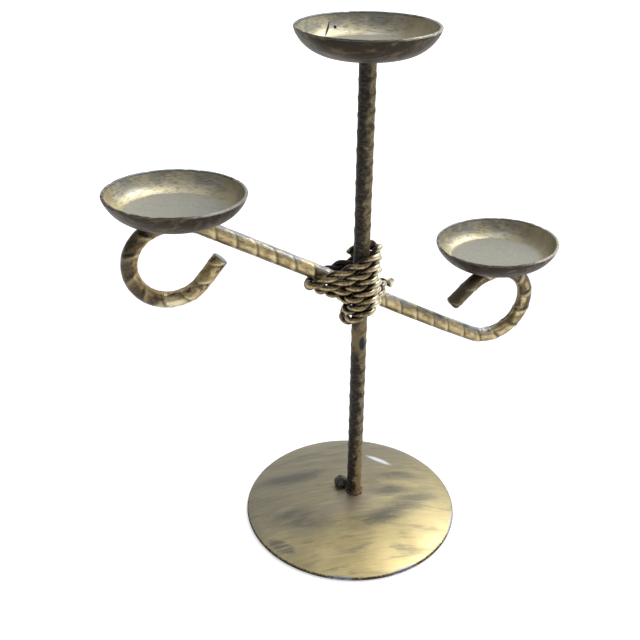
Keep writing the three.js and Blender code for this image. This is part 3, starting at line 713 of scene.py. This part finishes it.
def cup_profile():
    """Its marks go from 0 under the cup to 1 at the rim, 2 at the foot of the wall inside, and 3."""
    lip = CUP_LIP / 3
    shoulder = CUP_HEIGHT - lip
    under = CUP_FLOOR_RADIUS - 1.6 * CUP_SHEET
    middle = CUP_RIM_RADIUS - CUP_LIP / 2
    inner = CUP_RIM_RADIUS - CUP_LIP
    points = [(under * i / UNDER_RINGS, 0, 0) for i in range(UNDER_RINGS)]
    for i in range(WALL_RINGS + 1):
        share = i / WALL_RINGS
        points.append(wall_point(share, under, CUP_RIM_RADIUS, 0, shoulder, share))
    for i in range(1, LIP_FACETS):
        turn = math.pi * i / LIP_FACETS
        points.append((middle + CUP_LIP / 2 * math.cos(turn), shoulder + lip * math.sin(turn), 1))
    for i in range(WALL_RINGS, -1, -1):
        share = i / WALL_RINGS
        points.append(wall_point(share, CUP_FLOOR_RADIUS, inner, CUP_SHEET, shoulder, 2 - share))
    for i in range(FLOOR_RINGS - 1, -1, -1):
        points.append((CUP_FLOOR_RADIUS * i / FLOOR_RINGS, CUP_SHEET, 3 - i / FLOOR_RINGS))
    return points


CUP_BACK = (-0.1, 0.99, 0)
CUP_RIGHT = (1, 0, 0)
CUP_FRONT_RIGHT = (0.8, -0.6, 0)
CUP_FRONT_LEFT = (-0.7, -0.7, 0)
CUP_OLD_GOLD = (0.50, 0.42, 0.235)
CUP_FRESH_GOLD = (0.70, 0.61, 0.37)
WIPED_GOLD = (0.22, 0.20, 0.15)
RIGHT_WALL_SHADE = (0.19, 0.17, 0.125)
BACK_GOLD_AND_SHEEN = (0.56, 0.53, 0.41)
PALE_STREAK = (0.66, 0.70, 0.72)
SMOKE = (0.15, 0.155, 0.16)
PITTED = (0.10, 0.095, 0.085)
CRACK = (0.012, 0.011, 0.012)
FLOOR_DARK = (0.31, 0.305, 0.255)
FLOOR_PALE = (0.39, 0.385, 0.335)
FLOOR_WIPED = (0.22, 0.21, 0.175)
OUTSIDE_BLACK = (0.028, 0.021, 0.013)
OUTSIDE_BROWN = (0.13, 0.09, 0.048)
OUTSIDE_LIT_BROWN = (0.23, 0.15, 0.07)
LIP_DARK = (0.07, 0.062, 0.05)
LIP_PALE = (0.36, 0.33, 0.26)
LIP_SKY_REFLECTION = (0.17, 0.18, 0.20)
LIP_HIGHLIGHT = (0.55, 0.53, 0.46)
LIP_SHADE = (0.05, 0.045, 0.038)

cup_finish = Finish("cup_gold_and_black")
zone = cup_finish.marked("zone")
grain = cup_finish.cloud((0.6, 0.6, 0.6), rough=0.65)
blotch = cup_finish.cloud((5.5, 5.5, 5.5))
wiped = cup_finish.cloud((6, 1.2, 1.6), -35, detail=5, rough=0.65)
flecks = cup_finish.cloud((1.8, 1.8, 0.25), rough=0.7)
drawn = cup_finish.cloud((5.0, 5.0, 0.6), detail=3)
back = cup_finish.towards(CUP_BACK, "made")
right = cup_finish.towards(CUP_RIGHT, "made")
behind = cup_finish.rise(back, 4, 12)

inside = cup_finish.mix(cup_finish.rise(blotch, 0.38, 0.62), CUP_OLD_GOLD, CUP_FRESH_GOLD)
inside = cup_finish.lay(inside, cup_finish.rise(wiped, 0.54, 0.68), 0.45, WIPED_GOLD)
# Painted shade: the right inner wall, which faces away from the lamp, is darkened.
inside = cup_finish.lay(inside, cup_finish.rise(right, 4, 13), 0.6, RIGHT_WALL_SHADE)
# The back inner wall is lightened: partly its paler gold, partly a painted reflection of light from the
# front.
inside = cup_finish.lay(inside, behind, 0.5, BACK_GOLD_AND_SHEEN)
pale = cup_finish.both(cup_finish.rise(drawn, 0.50, 0.62), behind)
inside = cup_finish.lay(inside, pale, 0.45, PALE_STREAK)
smoked = cup_finish.both(cup_finish.rise(zone, 1.75, 1.35), cup_finish.rise(blotch, 0.44, 0.58))
inside = cup_finish.lay(inside, cup_finish.both(smoked, behind), 0.55, SMOKE)
pitted = cup_finish.both(cup_finish.rise(flecks, 0.50, 0.62), cup_finish.rise(back, 2, 10))
inside = cup_finish.lay(inside, pitted, 0.55, PITTED)
crack = cup_finish.mark((-4.19, 13.26, 137.0), (2.0, 0.22, 3.0), 55.7, soft=0.6, ragged=0.5)
hole = cup_finish.mark((-1.75, 14.41, 137.06), (0.42, 0.6, 0.4), soft=0.6)
inside = cup_finish.mix(cup_finish.math("MAXIMUM", crack, hole), inside, CRACK)
dull = cup_finish.mix(cup_finish.rise(grain, 0.35, 0.7), FLOOR_DARK, FLOOR_PALE)
dull = cup_finish.lay(dull, cup_finish.rise(wiped, 0.55, 0.7), 0.35, FLOOR_WIPED)
inside = cup_finish.mix(cup_finish.rise(zone, 1.97, 2.03), inside, dull)

outside = cup_finish.mix(cup_finish.rise(wiped, 0.48, 0.7), OUTSIDE_BLACK, OUTSIDE_BROWN)
# Painted light, partly real brown: the outside's right side, towards the lamp, is painted warm brown in
# blotches.
lit_right_blotches = cup_finish.both(cup_finish.rise(right, 2, 14), cup_finish.rise(blotch, 0.48, 0.6))
outside = cup_finish.lay(outside, lit_right_blotches, 0.7, OUTSIDE_LIT_BROWN)
colour = cup_finish.mix(cup_finish.rise(zone, 1.0, 1.03), outside, inside)

bare = cup_finish.mix(cup_finish.rise(flecks, 0.42, 0.58), LIP_DARK, LIP_PALE)
# On the bare lip, a painted reflection of the sky greys the back, a painted highlight lightens the front
# right, and painted shade darkens the front left.
bare = cup_finish.lay(bare, cup_finish.rise(back, 2, 14), 0.8, LIP_SKY_REFLECTION)
front_right = cup_finish.rise(cup_finish.towards(CUP_FRONT_RIGHT, "made"), 8, 15)
bare = cup_finish.lay(bare, front_right, 0.6, LIP_HIGHLIGHT)
front_left = cup_finish.rise(cup_finish.towards(CUP_FRONT_LEFT, "made"), 7, 14)
bare = cup_finish.lay(bare, front_left, 0.75, LIP_SHADE)
lip = cup_finish.both(cup_finish.rise(zone, 0.975, 0.99), cup_finish.rise(zone, 1.012, 1.002))
colour = cup_finish.mix(lip, colour, bare)
cup_look = {
    "Base Color": colour,
    "Metallic": cup_finish.spread(zone, 1.9, 2.1, 0.55, 0.25),
    "Roughness": cup_finish.spread(grain, 0, 1, 0.35, 0.6),
    "Specular IOR Level": 0.25,
}
cup_finish.shade(cup_look)
cup_finish.relief(cup_finish.math("ADD", grain, wiped), 0.045)

for cup_number, (name, node, seat, tilt_x, tilt_y) in enumerate(CUPS):
    cup_shape = turned(cup_profile(), CUP_STEPS)
    made_at = cup_shape.verts.layers.float_vector.new("made")
    zone_layer = cup_shape.verts.layers.float["zone"]
    own = Vector((0, 0, CUP_APART * MM * cup_number))
    for vertex in cup_shape.verts:
        vertex[made_at] = vertex.co
        mark = vertex[zone_layer]
        spot = vertex.co + own
        if 0.15 < mark < 1.95:
            out = Vector((vertex.co.x, vertex.co.y, 0)).normalized()
            dent = noise.noise(spot / (WALL_DENT_SIZE * MM))
            vertex.co += out * (WALL_DENT_DEPTH * MM * dent)
        if 0.8 < mark < 1.3:
            nearness = 1 - min(abs(mark - 1) / 0.25, 1)
            nick = max(noise.noise(spot / (RIM_NICK_SIZE * MM)) - 0.12, 0)
            vertex.co.z -= RIM_NICK_DEPTH * MM * nick * nearness
    tilt = Matrix.Rotation(-math.radians(tilt_y), 4, "X") @ Matrix.Rotation(math.radians(tilt_x), 4, "Y")
    put = Matrix.Translation(seat * MM) @ tilt
    bmesh.ops.transform(cup_shape, matrix=put, verts=cup_shape.verts)
    show(cup_shape, name, cup_finish, node)

# ---------- Lashing ----------
# Two soft steel wires twisted into a rope and wound tight round the crossing: part of a turn round the
# stem alone, then five round both rods. One end is cut short behind the stem, and the other runs on
# round the back and stands out at the right.

WIRE_RADIUS = 0.73
WIRE_SIDES = 14
WIRE_STEP = 0.25
WIRE_FROM_ROPE = 0.62
ROPE_LAY = 9.0  # length of rope in which its wires twist once round each other
ROPE_HOLD = 3.59  # from a rod's middle to the rope's
POST_SLACK = 0.3  # how much wider than the stem each stiff turn is, all of it at the front right
LASHING_START = 84.1
LASHING_PITCH = 3.0  # drop from one turn to the next
LASHING_TURNS = 5.85
LASHING_STEPS = 240  # in each turn
TURNS_ROUND_ARM = 5
START_ANGLE = 125  # degrees from +X
TAIL_SWEEP = 172  # degrees that the tail runs on round the back
TAIL_CLIMB = 0.2
TAIL_LIFT = 2.6  # how far it stands off to clear the turns that it crosses
TAIL_LIFTED = 0.45  # share of the tail in which it lifts off
TAIL_CLIMBS = 0.35  # share of the tail at which it starts to climb
ARM_SLACK = 0.4  # how far the turns stand off the arm where they cross it aslant
ARM_OFFSET = 4.5  # between the middles of the two rods
ARM_GRIP = 6  # how sharply the rope passes from the stem to the arm
ROPE_WANDER = 0.22
ROLL_RISE = math.tan(math.radians(27))  # how steeply each turn climbs, towards its facing
ROLL_FACING = math.radians(-22.3)
ROLL_X = ROLL_RISE * math.cos(ROLL_FACING)
ROLL_Y = ROLL_RISE * math.sin(ROLL_FACING)
ARM_FALL = math.tan(math.radians(ARM_SLOPE))
FIRST_FRONT = (START_ANGLE + 90) / 360
LAST_ROUND_ARM = FIRST_FRONT + TURNS_ROUND_ARM
CUT_END_FROM = 0.96  # share of a wire at which its bright cut end begins
CUT_END_TO = 0.98
CUT_END_SHINE = 1.2


def eased(value, low, high):
    share = min(max((value - low) / (high - low), 0), 1)
    return share * share * (3 - 2 * share)


def round_arm(out, hold):
    """Where the rope's middle runs round the arm, from the arm's own middle."""
    across = math.cos(math.radians(ARM_SLOPE))
    x = (out.x - ROLL_Y * across * out.y) / (across * (ARM_FALL + ROLL_X))
    return Vector((x, out.y, 0)) * (hold + ARM_SLACK)


def rope_middle(turns):
    """The rope's middle, in millimetres from the stem's axis, and the way outwards from the stem."""
    wound = min(turns, LASHING_TURNS)
    tail = (turns - wound) / (TAIL_SWEEP / 360)
    angle = math.radians(START_ANGLE - 360 * turns)
    out = Vector((math.cos(angle), math.sin(angle), 0))
    hold = ROPE_HOLD + TAIL_LIFT * eased(tail, 0, TAIL_LIFTED)
    slack = Vector((math.cos(ROLL_FACING), math.sin(ROLL_FACING), 0)) * POST_SLACK
    held = 1 if FIRST_FRONT < turns < LAST_ROUND_ARM else eased(tail, 0, TAIL_LIFTED)
    level = LASHING_START - LASHING_PITCH * min(turns, LAST_ROUND_ARM - 0.5)
    crossing = (CROSSING_HEIGHT - level - ROLL_Y * ARM_OFFSET) / (ROLL_X + ARM_FALL)
    to_arm = Vector((crossing, ARM_OFFSET, 0))
    share = held * (0.5 + 0.5 * math.tanh(ARM_GRIP * out.dot(to_arm.normalized())))
    point = (out * (hold + POST_SLACK) + slack).lerp(round_arm(out, hold) + to_arm, share)
    wander = ROPE_WANDER * noise.noise(Vector((turns * 1.7, 3.1, 0)))
    point.z = LASHING_START - LASHING_PITCH * wound + ROLL_X * point.x + ROLL_Y * point.y + wander
    point.z += TAIL_CLIMB * eased(tail, TAIL_CLIMBS, 1)
    return point, out


def wire_route(phase):
    """One wire of the rope, which circles the rope's middle once in each lay.

    With it comes, for each point, the way outwards and how far out on the rope the wire stands.
    """
    turns_in_all = LASHING_TURNS + TAIL_SWEEP / 360
    count = round(LASHING_STEPS * turns_in_all)
    samples = [rope_middle(turns_in_all * i / count) for i in range(count + 1)]
    rope = Route([point for point, _ in samples], Vector((0, 0, 1)))
    points = []
    outward = []
    for i, (point, out) in enumerate(samples):
        ahead = rope.ahead[i]
        away = (out - ahead * out.dot(ahead)).normalized()
        beside = ahead.cross(away)
        twist = phase + math.tau * rope.reach[i] / ROPE_LAY
        offset = away * math.cos(twist) + beside * math.sin(twist)
        points.append((point + offset * WIRE_FROM_ROPE) * MM + Vector((STEM_AT.x, STEM_AT.y, 0)))
        shine = CUT_END_SHINE * eased(i / count, CUT_END_FROM, CUT_END_TO)
        outward.append((away, math.cos(twist) + shine))
    return Route(points, Vector((0, 0, 1))), outward


def lay_wire(wire, route, outward):
    """Bends a straight wire to its route, and marks how proud of the rope's middle each point is."""
    proud = wire.verts.layers.float.new("proud")
    for vertex in wire.verts:
        middle, side, beside = route.frame(vertex.co.z)
        away, raised = outward[min(bisect_right(route.reach, vertex.co.z), len(outward) - 1)]
        offset = side * vertex.co.x + beside * vertex.co.y
        stands = offset.dot(away) / MM + raised * WIRE_FROM_ROPE
        vertex[proud] = stands / (WIRE_FROM_ROPE + WIRE_RADIUS)
        vertex.co = middle + offset


ROPE_RIGHT = (0.944, -0.33, 0)
WIRE_BLACK = (0.028, 0.022, 0.016)
WIRE_DEEP_GOLD = (0.24, 0.175, 0.085)
WIRE_GOLD = (0.50, 0.40, 0.22)
WIRE_PAINTED_HIGHLIGHT = (0.88, 0.80, 0.58)

wire_finish = Finish("worn_gold_wire")
proud = wire_finish.marked("proud")
grain = wire_finish.cloud((0.7, 0.7, 0.7))
patches = wire_finish.cloud((2.6, 2.6, 2.6), detail=3)
# Painted highlight: on the right side, towards the lamp, the wires are painted pale gold, and more of
# them is gold.
right = wire_finish.rise(wire_finish.towards(ROPE_RIGHT), 3.0, 5.5)
rubbed_and_lit = wire_finish.torn(proud, patches, 1.6)
rubbed_and_lit = wire_finish.math("ADD", rubbed_and_lit, wire_finish.both(grain, 0.5))
rubbed_and_lit = wire_finish.math("ADD", rubbed_and_lit, wire_finish.both(right, 0.35))
gold = wire_finish.mix(wire_finish.rise(grain, 0.35, 0.7), WIRE_DEEP_GOLD, WIRE_GOLD)
gold = wire_finish.lay(gold, right, 0.85, WIRE_PAINTED_HIGHLIGHT)
colour = wire_finish.mix(wire_finish.rise(rubbed_and_lit, 0.30, 1.35), WIRE_BLACK, gold)
wire_finish.shade({"Base Color": colour, "Metallic": 0.8, "Roughness": 0.3})
wire_finish.relief(grain, 0.05)

for letter, phase in (("a", 0.0), ("b", math.pi)):
    route, outward = wire_route(phase)
    wire_shape = plain_bar(WIRE_RADIUS, route.reach[-1] / MM, WIRE_SIDES, WIRE_STEP)
    lay_wire(wire_shape, route, outward)
    show(wire_shape, "rope_wire_" + letter, wire_finish, "binding_wire_" + letter)

# ---------- Welds ----------
# Rough beads of weld metal: one run round the bottom of the stem with a round lump behind its left,
# and small ones that hold the cups on the stem's end and on the crowns of the two curls.

FOOT_BEAD = 0.7
FOOT_BEAD_RING = 2.15
FOOT_BEAD_HEIGHT = 6.0
FOOT_BEADS = 13
LUMP = (-2.9, 3.4, 7.0, 2.0)  # from the stem's axis, and its radius
TOP_BEAD = 0.42
TOP_BEAD_RING = 2.35
TOP_BEAD_HEIGHT = 133.25
TOP_BEADS = 12
CUP_BEAD = 0.95
HIGH_BEAD_AT = (-45.8, 6.5, 97.5)
LOW_BEAD_AT = (45.3, 6.5, 71.5)
BEAD_SPREAD = (-1.5, -0.5, 0.5, 1.5)
MELT_GRAIN = 0.14  # of the mesh that the lumps are fused into
SPATTER_SIZE = 0.7
SPATTER_DEPTH = 0.12
WELD_DARK = (0.038, 0.034, 0.026)
WELD_PALE = (0.105, 0.09, 0.066)
WELD_RUST = (0.33, 0.19, 0.095)

weld_finish = Finish("rough_weld")
spots = weld_finish.cloud((1.3, 1.3, 1.3), detail=5, rough=0.7)
colour = weld_finish.mix(weld_finish.rise(spots, 0.4, 0.65), WELD_DARK, WELD_PALE)
rust = weld_finish.mark((3.0, -2.2, 6.4), (2.6, 2.2, 1.6), soft=0.8, ragged=0.8)
colour = weld_finish.lay(colour, rust, 0.8, WELD_RUST)
weld_finish.shade({"Base Color": colour, "Metallic": 0.4, "Roughness": 0.55})
weld_finish.relief(spots, 0.15)


def bead(lumps, name, node):
    """Fuses round lumps (x, y, z, radius), in millimetres, into one rough bead."""
    shape = bmesh.new()
    for x, y, z, radius in lumps:
        put = Matrix.Translation(Vector((x, y, z)) * MM)
        bmesh.ops.create_icosphere(shape, subdivisions=3, radius=radius * MM, matrix=put)
    piece = show(shape, name, weld_finish, node)
    fuse = piece.modifiers.new("fuse", "REMESH")
    fuse.mode = "VOXEL"
    fuse.voxel_size = MELT_GRAIN * MM
    fuse.use_smooth_shade = True
    depsgraph = bpy.context.evaluated_depsgraph_get()
    fused = bpy.data.meshes.new_from_object(piece.evaluated_get(depsgraph))
    piece.modifiers.clear()
    piece.data = fused
    for vertex in fused.vertices:
        spatter = noise.noise(vertex.co / (SPATTER_SIZE * MM))
        vertex.co += vertex.normal * (SPATTER_DEPTH * MM * spatter)


stem_x = STEM_AT.x / MM
stem_y = STEM_AT.y / MM


def on_ring(i, count, radius):
    """The place of one bead of a ring round the stem."""
    angle = math.tau * i / count
    return stem_x + radius * math.cos(angle), stem_y + radius * math.sin(angle)


foot_beads = []
for i in range(FOOT_BEADS):
    size = FOOT_BEAD * (0.8 + 0.3 * noise.noise(Vector((i * 1.3, 0.4, 0))))
    foot_beads.append((*on_ring(i, FOOT_BEADS, FOOT_BEAD_RING), FOOT_BEAD_HEIGHT, size))
foot_beads.append((stem_x + LUMP[0], stem_y + LUMP[1], LUMP[2], LUMP[3]))
bead(foot_beads, "foot_bead", "weld_foot")

top_beads = []
for i in range(TOP_BEADS):
    top_beads.append((*on_ring(i, TOP_BEADS, TOP_BEAD_RING), TOP_BEAD_HEIGHT, TOP_BEAD))
bead(top_beads, "top_cup_bead", "weld_cup_top")

for side, (x, y, z) in (("high", HIGH_BEAD_AT), ("low", LOW_BEAD_AT)):
    crown_beads = [(x + i, y, z, CUP_BEAD) for i in BEAD_SPREAD]
    bead(crown_beads, side + "_cup_bead", "weld_cup_" + side)
